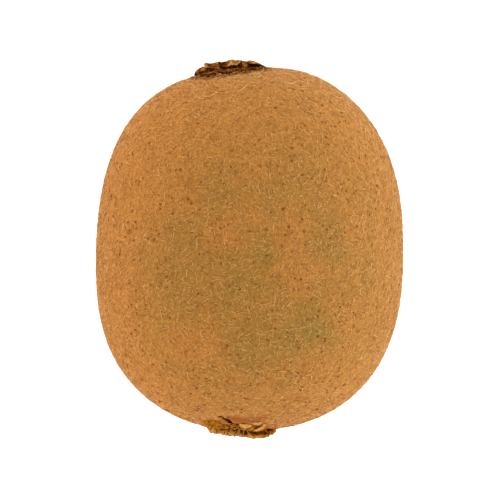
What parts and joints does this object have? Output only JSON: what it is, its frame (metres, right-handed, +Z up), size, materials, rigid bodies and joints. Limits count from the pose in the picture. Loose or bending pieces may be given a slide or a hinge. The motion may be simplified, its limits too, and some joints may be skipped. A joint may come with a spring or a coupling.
{
  "type": "kiwi fruit",
  "caption": "Whole hairy brown kiwi fruit lying on its side, an oval berry with a dried calyx at one end and dried flower remains at the other.",
  "frame": {"origin": "under the middle of the fruit's box, on the surface that it lies on", "axes": "+Z up, +Y along the fruit towards its stem end, +X across it"},
  "size_m": [0.053, 0.0662, 0.0491],
  "materials": {
    "skin": "thin dull brown fruit skin under a felt of short golden hairs",
    "dried_calyx": "dry dark brown sepals round a woody stalk scar",
    "dried_flower": "dry crumbly yellow brown stamens and papery styles"
  },
  "bodies": {
    "root": {"berry": "skin", "calyx": "dried_calyx", "flower_remains": "dried_flower"}
  },
  "joints": []
}
